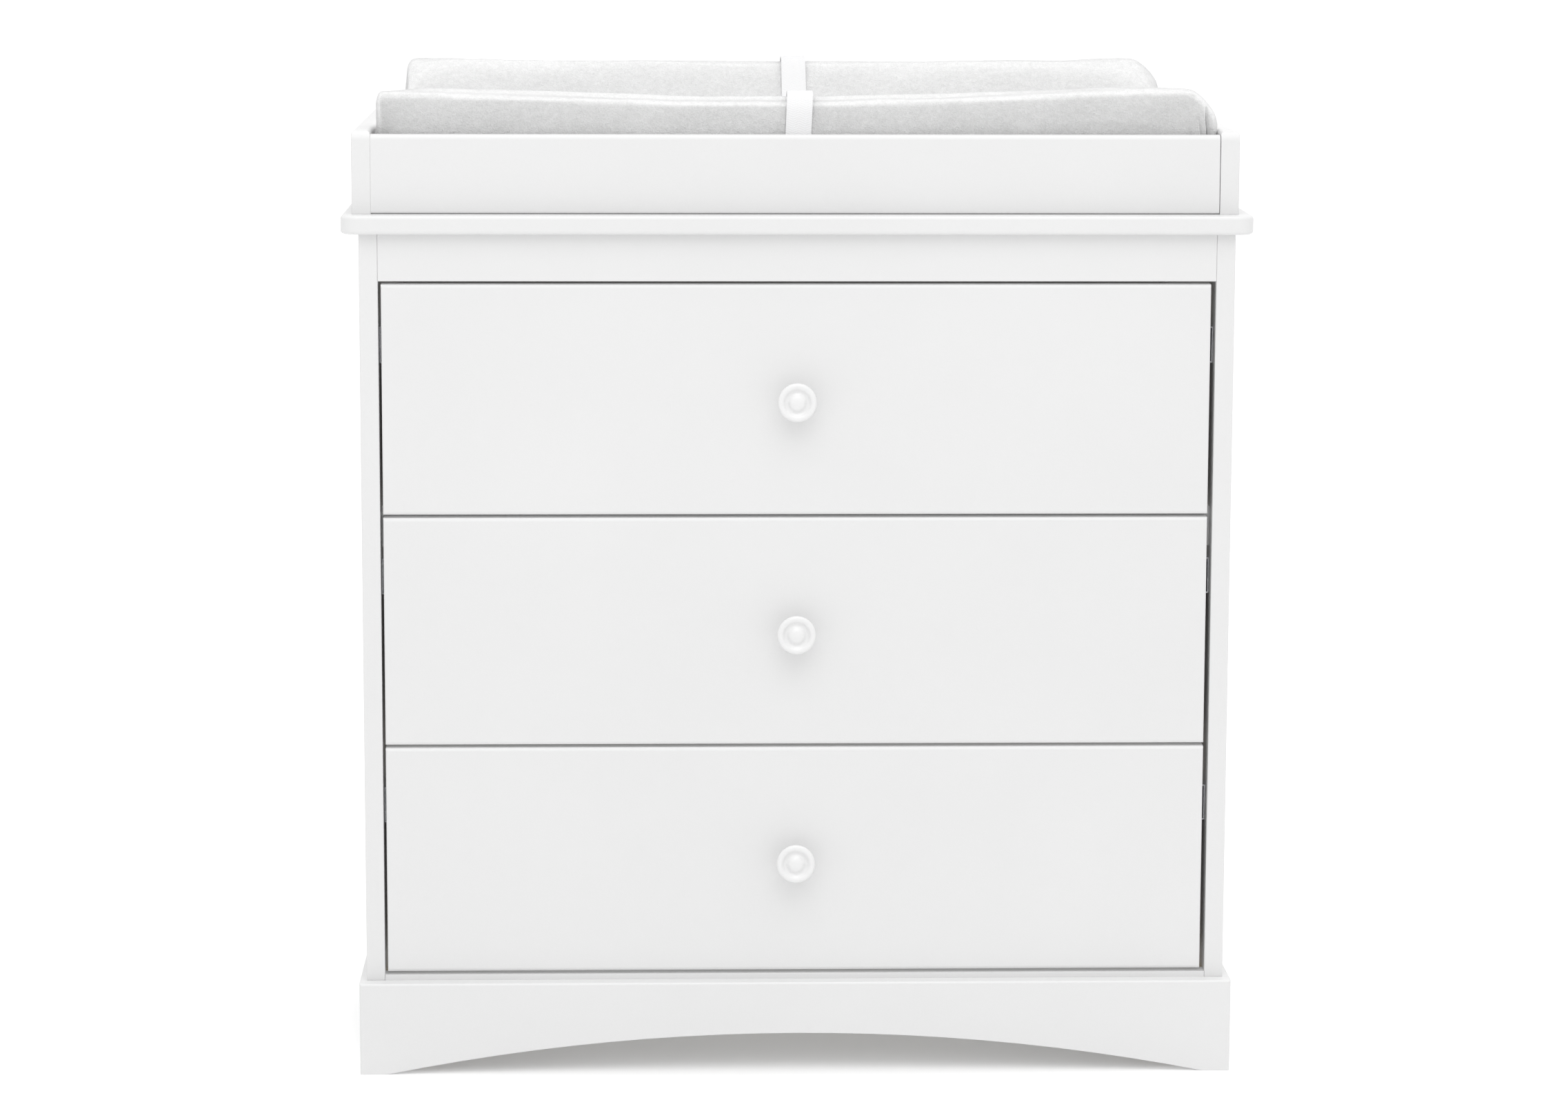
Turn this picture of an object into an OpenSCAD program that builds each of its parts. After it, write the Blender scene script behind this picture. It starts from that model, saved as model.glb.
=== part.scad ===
// Changing table: three-drawer dresser, changing tray and contoured pad with a safety strap.
// Millimetres, +Z up, +X to the right, drawers open towards -Y, floor at Z = 0.

/* [Dresser] */
// Width of the top board
top_w = 876; // [800:1:960]
// Depth of the top board
top_d = 483; // [460:1:540]
// Thickness of the top board
top_t = 18; // [15:1:25]
// Height of the dresser, floor to the top board's upper face
dresser_h = 842; // [820:1:880]
// Top board's overhang past each side panel
side_over = 17; // [10:1:25]
// Top board's overhang past the side panels' front edges
front_over = 12; // [5:1:20]
// Thickness of side panels, rails and drawer fronts
panel_t = 18; // [15:1:19]
// Height of the top rail's face
top_rail_h = 45.5; // [35:0.5:55]
// Height of the rail between the upper two drawers
cross_rail_h = 38; // [25:1:40]

/* [Base] */
// Height of the base
base_h = 91; // [75:1:100]
// How far the base stands out past each side panel
base_side_out = 6.5; // [4:0.5:12]
// How far the base stands out past the side panels' front edges
base_front_out = 16; // [12:1:20]
// Height of the arch at its middle
arch_rise = 40; // [20:1:50]
// Width of each foot on the front board
foot_w = 27; // [20:1:60]

/* [Drawers] */
// Gap above, below and between the drawer fronts
front_gap = 3; // [2:0.5:5]
// Width of each drawer front
front_w = 798.5; // [790:0.5:800]
// Height of each drawer box
box_h = 170; // [120:1:178]
// Depth of each drawer box behind its front
box_d = 400; // [300:10:410]
// Thickness of the drawer box boards
box_t = 12; // [10:1:15]
// Drawer travel
travel = 380; // [250:10:380]
// Diameter of the knob
knob_dia = 37.8; // [30:0.1:45]
// How far the knob stands out from its drawer front
knob_out = 26; // [22:1:32]

/* [Changing tray and pad] */
// Outer width of the tray
tray_w = 852; // [845:1:856]
// Outer depth of the tray
tray_d = 451; // [449:1:455]
// Height of the tray's end rails
tray_end_h = 80; // [70:1:90]
// Height of the tray's front and back rails
tray_rail_h = 76; // [60:1:80]
// Length of the pad
pad_l = 812; // [800:1:813]
// Width of the pad
pad_w = 406; // [396:1:407]
// Height of the pad's front bolster
pad_front_h = 115.5; // [100:0.5:118]
// Height of the pad's rear bolster
pad_rear_h = 127.5; // [100:0.5:131]
// Thickness of the pad along its middle
pad_mid_h = 48; // [30:1:60]
// Width of the safety strap
strap_w = 25; // [20:1:38]

/* [Hidden] */
$fn = 48;

// Colours
paint = [0.95, 0.95, 0.95];
raw_board = [0.90, 0.87, 0.82];
zinc = [0.72, 0.73, 0.75];
white_plastic = [0.93, 0.93, 0.93];
plush = [0.86, 0.86, 0.86];
webbing = [0.97, 0.97, 0.97];

// Carcass
total_d = knob_out + top_d - front_over;
front_y = knob_out - total_d / 2; // front edges of the side panels and faces of the drawer fronts
back_y = total_d / 2; // rear edge of the top board
case_w = top_w - 2 * side_over;
inner_w = case_w - 2 * panel_t;
case_back_y = back_y - 8;
top_under = dresser_h - top_t;
opening_top = top_under - top_rail_h;
opening_low = base_h + 5.5; // the bottom rail shows a narrow strip over the base
front_h = (opening_top - opening_low - 4 * front_gap) / 3;
pitch = front_h + front_gap;
function front_low(i) = opening_low + front_gap + i * pitch;
back_t = 3;
back_rail_h = 80;

// Drawer boxes and runners
front_x = -1; // the fronts hang slightly to the left in their opening
runner_gap = 12.7;
box_half = inner_w / 2 - runner_gap;
box_lift = 13; // box above the front's lower edge
box_y = front_y + panel_t;
groove_lift = 8;
groove_t = 3.2;
groove_deep = 5;
groove_half = box_half - box_t + groove_deep;
groove_y = box_y + box_d - box_t + groove_deep;
runner_h = 35;
runner_l = box_d - 2;
function runner_z(i) = front_low(i) + 163;

// Base
base_w = case_w + 2 * base_side_out;
skirt_t = 16;
arch_half = base_w / 2 - foot_w;
function arc_r(half, rise) = (half * half + rise * rise) / (2 * rise);

// Tray and pad
tray_x = -1.5; // the tray sits slightly to the left of the dresser's middle
tray_y = front_y + 10;
rail_t = 18;
rail_lift = 1; // open joint under the front and back rails
rail_joint = 0.6; // open joint at their right ends
pad_y = tray_y + rail_t + (tray_d - 2 * rail_t - pad_w) / 2;
pad_z = dresser_h + 0.5;
pad_corner = 26;
crest_in = 22; // crest of each bolster, in from the pad's long edge
slope_w = 130; // width of the slope from a crest to the flat middle
strap_front_x = 4.5; // the strap lies to the right of the pad's middle and not quite straight
strap_rear_x = 8.5;
side_round = 20; // height of the rounding from a bolster's outer side to its crest

// ---------- general shapes ----------

// Box given by its two corners
module slab(lo, hi) {
    translate(lo) cube(hi - lo);
}

// Rectangle from the origin whose upper corners are rounded
module eased_top(w, h, r) {
    square([w, h - r]);
    translate([r, 0]) square([w - 2 * r, h]);
    for (x = [r, w - r]) translate([x, h - r]) circle(r);
}

// Rectangle from the origin whose four corners are rounded
module eased_all(w, h, r) {
    translate([r, 0]) square([w - 2 * r, h]);
    translate([0, r]) square([w, h - 2 * r]);
    for (x = [r, w - r], y = [r, h - r]) translate([x, y]) circle(r);
}

// Outer strip of a board: square at x = 0, eased at x = w
module eased_edge(w, t, r) {
    square([w - r, t]);
    translate([w - r - 1, r]) square([r + 1, t - 2 * r]);
    for (z = [r, t - r]) translate([w - r, z]) circle(r);
}

// Extrudes an X-Z outline along +Y from y0
module along_y(y0, len) {
    translate([0, y0 + len, 0]) rotate([90, 0, 0]) linear_extrude(len) children();
}

// Extrudes a Y-Z outline along +X from x0
module along_x(x0, len) {
    translate([x0, 0, 0]) rotate([90, 0, 90]) linear_extrude(len) children();
}

// Pan-head screw head on a surface, standing out along +Z
module pan_head(r) {
    cylinder(r = r, h = r * 0.35);
    translate([0, 0, r * 0.35 - 0.01]) cylinder(r1 = r * 0.85, r2 = r * 0.45, h = r * 0.25);
}

// Cutter for a circular arch, centred on x = 0, rising from z = 0
module arch_cut(half, rise, y0, len) {
    r = arc_r(half, rise);
    translate([0, y0 + len, rise - r]) rotate([90, 0, 0]) cylinder(r = r, h = len, $fn = 720);
}

// ---------- dresser ----------

module top_board() {
    corner = 16;
    ease = 3.5;
    core_w = top_w - 2 * corner;
    color(paint) translate([0, back_y - top_d, top_under]) {
        translate([-core_w / 2, corner, 0]) cube([core_w, top_d - corner, top_t]);
        translate([-core_w / 2, corner, 0]) rotate([90, 0, 90]) mirror([1, 0, 0])
            linear_extrude(core_w) eased_edge(corner, top_t, ease);
        for (s = [0, 1]) mirror([s, 0, 0]) {
            translate([core_w / 2, top_d, 0]) rotate([90, 0, 0])
                linear_extrude(top_d - corner) eased_edge(corner, top_t, ease);
            translate([core_w / 2, corner, 0]) rotate([0, 0, -90])
                rotate_extrude(angle = 90) eased_edge(corner, top_t, ease);
        }
    }
}

module side_panel(s) {
    ease = 1;
    x0 = s > 0 ? inner_w / 2 : -case_w / 2;
    color(paint) translate([x0, case_back_y, base_h]) mirror([0, 1, 0])
        linear_extrude(top_under - base_h) eased_top(panel_t, case_back_y - front_y, ease);
}

module back_panel() {
    color(raw_board) slab([-case_w / 2 + 3, case_back_y, base_h - 20],
                          [case_w / 2 - 3, case_back_y + back_t, top_under - 64]);
}

module top_front_rail() {
    color(paint) along_x(-inner_w / 2, inner_w) translate([front_y, opening_top])
        square([panel_t, top_rail_h]);
}

// Carries the two pilot holes for the anti-tip kit
module top_back_rail() {
    color(paint) difference() {
        slab([-inner_w / 2, case_back_y - panel_t, top_under - back_rail_h],
             [inner_w / 2, case_back_y, top_under]);
        for (s = [-1, 1]) translate([s * 32, case_back_y - 14, top_under - 30])
            rotate([-90, 0, 0]) cylinder(r = 2, h = 20);
    }
}

module cross_rail() {
    low = front_low(2) - 34;
    color(paint) slab([-inner_w / 2, box_y + 3, low],
                      [inner_w / 2, box_y + 3 + panel_t, low + cross_rail_h]);
}

module bottom_front_rail() {
    color(paint) slab([-inner_w / 2, front_y, base_h - 40], [inner_w / 2, front_y + panel_t, opening_low]);
}

module base_front() {
    ease = 2;
    y0 = front_y - base_front_out;
    color(paint) difference() {
        intersection() {
            translate([-base_w / 2, front_y, 0]) mirror([0, 1, 0])
                linear_extrude(base_h) eased_top(base_w, base_front_out, ease);
            along_x(-base_w / 2, base_w) translate([y0, 0])
                union() {
                    square([base_front_out, base_h - ease]);
                    translate([ease, 0]) square([base_front_out - ease, base_h]);
                    translate([ease, base_h - ease]) circle(ease);
                }
        }
        arch_cut(arch_half, arch_rise, y0 - 1, base_front_out + 2);
    }
}

// Side board of the base, with the same arch cut across its length
module base_side(s) {
    len = case_back_y - front_y;
    foot = 60;
    color(paint) difference() {
        slab([s > 0 ? base_w / 2 - skirt_t : -base_w / 2, front_y, 0],
             [s > 0 ? base_w / 2 : -base_w / 2 + skirt_t, front_y + len, base_h]);
        translate([s * base_w / 2, front_y + len / 2, 0]) rotate([0, 0, 90])
            arch_cut(len / 2 - foot, 24, -skirt_t - 1, 2 * skirt_t + 2);
    }
}

module base_back() {
    color(paint) slab([-base_w / 2 + skirt_t, case_back_y - panel_t, 0],
                      [base_w / 2 - skirt_t, case_back_y, base_h - 20]);
}

module base_corner_blocks() {
    size = 36;
    inner = base_w / 2 - skirt_t;
    color(raw_board) for (s = [-1, 1], y = [front_y + panel_t, case_back_y - panel_t - size])
        translate([s > 0 ? inner - size : -inner, y, 24]) cube([size, size, base_h - 24]);
}

// Steel angle brackets under the top board
bracket_ys = [front_y + 90, front_y + 230, front_y + 370];
module corner_brackets() {
    leg = 28;
    thick = 1.6;
    color(zinc) for (s = [0, 1], y = bracket_ys) mirror([s, 0, 0]) {
        translate([inner_w / 2 - leg, y, top_under - thick]) cube([leg, 20, thick]);
        translate([inner_w / 2 - thick, y, top_under - leg]) cube([thick, 20, leg - thick]);
    }
}

module bracket_screws() {
    color(zinc) for (s = [0, 1], y = bracket_ys) mirror([s, 0, 0]) {
        translate([inner_w / 2 - 18, y + 10, top_under - 1.6]) rotate([180, 0, 0]) pan_head(4);
        translate([inner_w / 2 - 1.6, y + 10, top_under - 18]) rotate([0, -90, 0]) pan_head(4);
    }
}

// Plastic caps over the cam locks that hold the rails to the side panels
module cam_covers() {
    inset = 46;
    rows = [[front_y + panel_t, opening_top + top_rail_h / 2],
            [box_y + 3 + panel_t, front_low(2) - 34 + cross_rail_h / 2],
            [front_y + panel_t, opening_low - 12]];
    color(white_plastic) for (s = [0, 1], row = rows) mirror([s, 0, 0])
        translate([inner_w / 2 - inset, row[0], row[1]]) rotate([-90, 0, 0]) cylinder(r = 8.5, h = 1.4);
}

// ---------- changing tray ----------

module long_rail(y0) {
    color(paint) along_x(tray_x - tray_w / 2 + rail_t, tray_w - 2 * rail_t - rail_joint)
        translate([y0, dresser_h + rail_lift]) union() {
            translate([0, 1.5]) eased_top(rail_t, tray_rail_h - rail_lift - 1.5, 4.5);
            translate([1.5, 0]) square([rail_t - 3, 2]);
            for (x = [1.5, rail_t - 1.5]) translate([x, 1.5]) circle(1.5);
        }
}

module end_rail(s) {
    nose = 9;
    x0 = tray_x + (s > 0 ? tray_w / 2 - rail_t : -tray_w / 2);
    color(paint) intersection() {
        along_y(tray_y, tray_d) translate([x0, dresser_h]) eased_top(rail_t, tray_end_h, 4.5);
        along_x(x0 - 1, rail_t + 2) translate([tray_y, dresser_h]) eased_top(tray_d, tray_end_h, nose);
    }
}

// Angle brackets inside the tray's corners
module tray_brackets() {
    leg = 30;
    thick = 1.2;
    x1 = tray_w / 2 - rail_t;
    y1 = tray_d / 2 - rail_t;
    color(zinc) translate([tray_x, tray_y + tray_d / 2, dresser_h + 8])
        for (sx = [0, 1], sy = [0, 1]) mirror([sx, 0, 0]) mirror([0, sy, 0]) {
            translate([x1 - 14, y1 - thick, 0]) cube([14, thick, 18]);
            translate([x1 - thick, y1 - leg, 0]) cube([thick, leg - thick, 18]);
        }
}

// Screws that hold the tray's back rail down to the dresser, heads in the back rail's face
module tray_screws() {
    color(zinc) for (x = [-300, 0, 300]) translate([tray_x + x, tray_y + tray_d, dresser_h + 22])
        rotate([-90, 0, 0]) pan_head(4);
}

// ---------- pad ----------

function smooth(t) = (1 - cos(180 * t)) / 2;
function slope_z(t, crest) = crest - (crest - pad_mid_h) * smooth(t);
steps = 10;

// Upper outline of the pad across its width, from the front foot to the rear foot
pad_top = concat(
    [for (i = [0:steps]) [crest_in * (1 - cos(90 * i / steps)),
                          pad_front_h - side_round * (1 - sin(90 * i / steps))]],
    [for (i = [1:steps]) [crest_in + slope_w * i / steps, slope_z(i / steps, pad_front_h)]],
    [for (i = [0:steps - 1]) [pad_w - crest_in - slope_w * (1 - i / steps),
                              slope_z(1 - i / steps, pad_rear_h)]],
    [for (i = [0:steps]) [pad_w - crest_in * (1 - sin(90 * i / steps)),
                          pad_rear_h - side_round * (1 - cos(90 * i / steps))]]);

module pad() {
    foot = 8;
    outline = concat([[foot, 0], [0, foot]], pad_top, [[pad_w, foot], [pad_w - foot, 0]]);
    color(plush) translate([tray_x, pad_y, pad_z]) intersection() {
        along_x(-pad_l / 2, pad_l) polygon(outline);
        translate([-pad_l / 2, 0, 0]) linear_extrude(pad_rear_h + 10) eased_all(pad_l, pad_w, pad_corner);
    }
}

// Outward unit normal of the pad's outline at point i
function edge_dir(i) = pad_top[min(i + 1, len(pad_top) - 1)] - pad_top[max(i - 1, 0)];
function out_at(i, d) = pad_top[i] + d * [-edge_dir(i)[1], edge_dir(i)[0]] / norm(edge_dir(i));

// Strap lying on the pad over outline points a to b, from a hanging end at the pad's long edge
// to a flat end at y = y_end beside the buckle
module strap_run(a, b, y_end, x) {
    gap = 0.3;
    thick = 1.5;
    hang_z = 20;
    front = y_end < pad_w / 2;
    y_hang = front ? -gap : pad_w + gap;
    out = front ? -thick : thick;
    low = [for (i = [a:b]) out_at(i, gap)];
    high = [for (i = [b:-1:a]) out_at(i, gap + thick)];
    flat = [[y_end, pad_mid_h + gap], [y_end, pad_mid_h + gap + thick]];
    outline = front ? concat([[y_hang, hang_z]], low, flat, high, [[y_hang + out, hang_z]])
                    : concat(low, [[y_hang, hang_z], [y_hang + out, hang_z]], high, [flat[1], flat[0]]);
    color(webbing) translate([tray_x + x, pad_y, pad_z]) along_x(-strap_w / 2, strap_w) polygon(outline);
}

module strap_front() {
    strap_run(0, 2 * steps, pad_w / 2 - 20, strap_front_x);
}

module strap_rear() {
    strap_run(2 * steps + 1, len(pad_top) - 1, pad_w / 2 + 44, strap_rear_x);
}

// The buckle lies in the middle of the pad, between the two ends of the strap
buckle_z = pad_z + pad_mid_h + 0.6;
buckle_y = pad_y + pad_w / 2;
buckle_x = tray_x + (strap_front_x + strap_rear_x) / 2;

module buckle_socket() {
    color(white_plastic) translate([buckle_x, buckle_y, buckle_z]) difference() {
        translate([-17, 0, 0]) cube([34, 44, 9]);
        translate([-13.5, -1, 2]) cube([27, 25, 5]);
        for (s = [-1, 1]) translate([s * 17 - 3, 12, -1]) cube([6, 10, 11]);
        translate([-13, 34, -1]) cube([26, 5, 11]);
    }
}

module buckle_plug() {
    color(white_plastic) translate([buckle_x, buckle_y, buckle_z]) {
        difference() {
            translate([-17, -20, 0]) cube([34, 19, 8]);
            translate([-13, -15, -1]) cube([26, 5, 10]);
        }
        translate([-2, -1.5, 3]) cube([4, 23, 3]);
        for (s = [-1, 1]) translate([s * 10.5 - 2, -1.5, 3]) cube([4, 21, 3]);
    }
}

// ---------- runners ----------

// Telescopic steel runner, one each side; x is measured inwards from the side panel
module runner_pair(i) {
    z = runner_z(i);
    color(zinc) for (s = [0, 1]) mirror([s, 0, 0])
        translate([inner_w / 2, box_y + 2, z]) mirror([1, 0, 0]) children();
}

module channel(x0, x1, web_x, half_h, t, y0, len) {
    translate([web_x, y0, -half_h]) cube([t, len, 2 * half_h]);
    for (z = [-half_h, half_h - t]) translate([x0, y0, z]) cube([x1 - x0, len, t]);
}

module runner_outer(i) {
    runner_pair(i) channel(0, 9, 0, runner_h / 2, 1.2, 0, runner_l);
}

module runner_mid(i) {
    runner_pair(i) channel(2.4, 9.5, 5.4, 14.6, 1.2, 4, runner_l - 14);
}

module runner_inner(i) {
    runner_pair(i) channel(7.6, runner_gap, runner_gap - 1.2, 11, 1.2, 0, runner_l);
}

// ---------- drawers ----------

module drawer_front(i) {
    ease = 3.6;
    edge = 1.4;
    z0 = front_low(i);
    x0 = front_x - front_w / 2;
    color(paint) difference() {
        intersection() {
            along_x(x0, front_w) translate([front_y, z0]) union() {
                translate([ease, 0]) square([panel_t - ease, front_h]);
                translate([0, ease]) square([panel_t, front_h - 2 * ease]);
                for (z = [ease, front_h - ease]) translate([ease, z]) circle(ease);
            }
            translate([x0, box_y, z0]) mirror([0, 1, 0])
                linear_extrude(front_h) eased_top(front_w, panel_t, edge);
        }
        slab([-groove_half, box_y - groove_deep, z0 + box_lift + groove_lift],
             [groove_half, box_y + 1, z0 + box_lift + groove_lift + groove_t]);
        translate([front_x, box_y + 1, z0 + front_h / 2])
            rotate([90, 0, 0]) cylinder(r = 2.4, h = panel_t + 2);
    }
}

module box_side(i, s) {
    z0 = front_low(i) + box_lift;
    color(raw_board) difference() {
        slab([s > 0 ? box_half - box_t : -box_half, box_y, z0],
             [s > 0 ? box_half : -box_half + box_t, box_y + box_d, z0 + box_h]);
        slab([-groove_half, box_y - 1, z0 + groove_lift],
             [groove_half, groove_y, z0 + groove_lift + groove_t]);
    }
}

module box_back(i) {
    z0 = front_low(i) + box_lift;
    y1 = box_y + box_d;
    color(raw_board) difference() {
        slab([-box_half + box_t, y1 - box_t, z0], [box_half - box_t, y1, z0 + box_h]);
        slab([-box_half, y1 - box_t - 1, z0 + groove_lift],
             [box_half, groove_y, z0 + groove_lift + groove_t]);
    }
}

module box_bottom(i) {
    z0 = front_low(i) + box_lift + groove_lift;
    color(raw_board) slab([-groove_half, box_y - groove_deep, z0], [groove_half, groove_y, z0 + groove_t]);
}

// Turned knob: foot, neck, rolled rim, dished face and a centre dome
module knob(i) {
    rim_r = 3.7;
    rim_at = knob_dia / 2 - rim_r;
    rim_h = knob_out - 4.5;
    dome_r = 10.4;
    color(paint) translate([front_x, front_y, front_low(i) + front_h / 2]) rotate([90, 0, 0])
        rotate_extrude($fn = 96) difference() {
            union() {
                square([11, 1.6]);
                square([8, rim_h - 2]);
                polygon([[0, rim_h - 9], [8, rim_h - 9], [rim_at - 0.5, rim_h - rim_r + 0.1],
                         [rim_at, rim_h], [0, rim_h]]);
                translate([rim_at, rim_h]) circle(rim_r);
                intersection() {
                    translate([0, knob_out - dome_r]) circle(dome_r);
                    translate([0, rim_h - 1]) square(20);
                }
            }
            translate([-50, -50]) square([50, 200]);
            square([2, 12]);
        }
}

// Knob screw, and the angle brackets that hold the box sides to the front
module drawer_fixings(i) {
    z0 = front_low(i);
    color(zinc) {
        translate([front_x, box_y, z0 + front_h / 2]) {
            rotate([-90, 0, 0]) pan_head(4.2);
            translate([0, -panel_t - 10, 0]) rotate([-90, 0, 0]) cylinder(r = 1.9, h = panel_t + 10.5);
        }
        for (s = [0, 1]) mirror([s, 0, 0]) for (z = [45, 105, 165]) {
            translate([box_half - box_t - 1.4, box_y, z0 + z - 8]) cube([1.4, 22, 16]);
            translate([box_half - box_t - 18, box_y, z0 + z - 8]) cube([16.6, 1.4, 16]);
        }
    }
}

// ---------- nodes ----------

top_board();
side_panel(-1);  // left_side_panel
side_panel(1);  // right_side_panel
back_panel();
top_front_rail();
top_back_rail();
cross_rail();
bottom_front_rail();
base_front();
base_side(-1);  // base_left
base_side(1);  // base_right
base_back();
base_corner_blocks();
corner_brackets();
bracket_screws();
cam_covers();
long_rail(tray_y);  // tray_front_rail
long_rail(tray_y + tray_d - rail_t);  // tray_back_rail
end_rail(-1);  // tray_left_rail
end_rail(1);  // tray_right_rail
tray_brackets();
tray_screws();
pad();
strap_front();
strap_rear();
buckle_socket();
buckle_plug();

levels = ["lower", "middle", "upper"];
for (i = [0:2]) {
    runner_outer(i);
    runner_mid(i);
    runner_inner(i);
    drawer_front(i);
    box_side(i, -1);
    box_side(i, 1);
    box_back(i);
    box_bottom(i);
    knob(i);
    drawer_fixings(i);
}
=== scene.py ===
import math
import bmesh
import bpy
from mathutils import Matrix, Quaternion, Vector, noise
from mathutils.bvhtree import BVHTree


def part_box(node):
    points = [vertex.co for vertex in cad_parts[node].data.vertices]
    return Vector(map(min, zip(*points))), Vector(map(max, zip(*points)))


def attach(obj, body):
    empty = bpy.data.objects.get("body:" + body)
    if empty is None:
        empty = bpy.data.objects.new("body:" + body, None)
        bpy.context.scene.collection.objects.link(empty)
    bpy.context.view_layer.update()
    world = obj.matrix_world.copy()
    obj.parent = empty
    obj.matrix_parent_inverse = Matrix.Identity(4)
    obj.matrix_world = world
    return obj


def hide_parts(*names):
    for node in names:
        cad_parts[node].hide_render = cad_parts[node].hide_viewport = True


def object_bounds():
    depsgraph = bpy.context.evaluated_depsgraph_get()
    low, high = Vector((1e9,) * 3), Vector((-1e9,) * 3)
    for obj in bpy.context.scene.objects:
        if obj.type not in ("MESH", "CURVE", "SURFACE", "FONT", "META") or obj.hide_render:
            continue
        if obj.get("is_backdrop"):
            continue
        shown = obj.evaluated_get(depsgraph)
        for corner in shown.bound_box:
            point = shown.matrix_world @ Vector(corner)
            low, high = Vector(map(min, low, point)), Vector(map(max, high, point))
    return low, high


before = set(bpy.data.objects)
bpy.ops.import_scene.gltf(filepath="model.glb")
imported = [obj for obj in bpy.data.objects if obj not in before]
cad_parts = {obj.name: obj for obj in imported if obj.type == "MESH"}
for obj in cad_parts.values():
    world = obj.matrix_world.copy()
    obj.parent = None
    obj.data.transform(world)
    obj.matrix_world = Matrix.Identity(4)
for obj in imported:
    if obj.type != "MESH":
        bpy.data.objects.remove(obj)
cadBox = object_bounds()
print("frame loaded")

# camera, light and floor

camera = dict(place=(-0.1446, -4.5508, 1.1912), yaw=1.744, pitch=-8.969, roll=0.17, lens=103.815,
              sensor=36.0, farthest=300.0)
studio = dict(sky=1.0, glow=0.65, glowAngle=0.5, floorHalf=40.0, lights=[
    dict(name="keySoftbox", place=(0.1, -2.2, 3.1), aim=(0.0, -0.2, 0.6), size=(2.6, 2.0), power=25.0),
    dict(name="fillSoftbox", place=(-1.2, -4.2, 2.6), aim=(0.0, 0.0, 0.5), size=(2.6, 2.0), power=4.0),
    dict(name="rearSoftbox", place=(0.8, 3.6, 2.6), aim=(0.0, 0.0, 0.5), size=(2.6, 2.0), power=7.0)])


def makeCamera():
    yaw, pitch = math.radians(camera["yaw"]), math.radians(camera["pitch"])
    ahead = Vector((math.sin(yaw) * math.cos(pitch), math.cos(yaw) * math.cos(pitch), math.sin(pitch)))
    data = bpy.data.cameras.new("studioCamera")
    data.lens = camera["lens"]
    data.sensor_width = camera["sensor"]
    data.clip_end = camera["farthest"]
    made = bpy.data.objects.new("studioCamera", data)
    bpy.context.collection.objects.link(made)
    made.location = camera["place"]
    made.rotation_mode = "QUATERNION"
    made.rotation_quaternion = (ahead.to_track_quat("-Z", "Y")
                                @ Quaternion((0, 0, 1), math.radians(camera["roll"])))
    bpy.context.scene.camera = made


def makeLights():
    for light in studio["lights"]:
        data = bpy.data.lights.new(light["name"], "AREA")
        data.shape = "RECTANGLE"
        data.size, data.size_y = light["size"]
        data.energy = light["power"]
        made = bpy.data.objects.new(light["name"], data)
        bpy.context.collection.objects.link(made)
        made.location = light["place"]
        away = Vector(light["aim"]) - Vector(light["place"])
        made.rotation_euler = away.to_track_quat("-Z", "Y").to_euler()
    data = bpy.data.lights.new("ceilingGlow", "SUN")  # shines straight down, to fill the shade below
    data.energy = studio["glow"]
    data.angle = studio["glowAngle"]
    data.use_shadow = False
    bpy.context.collection.objects.link(bpy.data.objects.new("ceilingGlow", data))
    world = bpy.data.worlds.new("studioWorld")
    world.use_nodes = True
    world.node_tree.nodes["Background"].inputs["Color"].default_value = (1, 1, 1, 1)
    world.node_tree.nodes["Background"].inputs["Strength"].default_value = studio["sky"]
    bpy.context.scene.world = world
    bpy.context.scene.view_settings.view_transform = "Standard"


makeCamera()
makeLights()
print("camera and lights made")

# node helpers


def node(tree, kind, inputs=None, **settings):
    made = tree.nodes.new("ShaderNode" + kind)
    for key, value in settings.items():
        setattr(made, key, value)
    for key, value in (inputs or {}).items():
        if isinstance(value, bpy.types.NodeSocket):
            tree.links.new(value, made.inputs[key])
        else:
            made.inputs[key].default_value = value
    return made


def calc(tree, operation, first, second=0.0):
    return node(tree, "Math", {0: first, 1: second}, operation=operation).outputs[0]


def remap(tree, value, fromLow, fromHigh, toLow, toHigh):
    spans = {"Value": value, "From Min": fromLow, "From Max": fromHigh, "To Min": toLow, "To Max": toHigh}
    return node(tree, "MapRange", spans).outputs["Result"]


def mixColour(tree, factor, first, second, blendType="MIX"):
    sockets = {0: factor, 6: first, 7: second}
    return node(tree, "Mix", sockets, data_type="RGBA", blend_type=blendType).outputs[2]


def shaded(tree, colour, shade):
    tone = node(tree, "CombineColor", {0: shade, 1: shade, 2: shade}).outputs[0]
    return mixColour(tree, 1.0, colour, tone, "MULTIPLY")


def bumped(tree, strength, distance, height, normal=None):
    sockets = {"Strength": strength, "Distance": distance, "Height": height}
    if normal:
        sockets["Normal"] = normal
    return node(tree, "Bump", sockets).outputs[0]


def objectCoords(tree):
    return node(tree, "TexCoord").outputs["Object"]


def scaledBy(tree, coords, factors):
    return node(tree, "VectorMath", {0: coords, 1: factors}, operation="MULTIPLY").outputs[0]


def noiseValue(tree, coords, scale, detail=3.0, roughness=0.5):
    return node(tree, "TexNoise", {"Vector": coords, "Scale": scale, "Detail": detail,
                                   "Roughness": roughness}).outputs[0]


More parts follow.
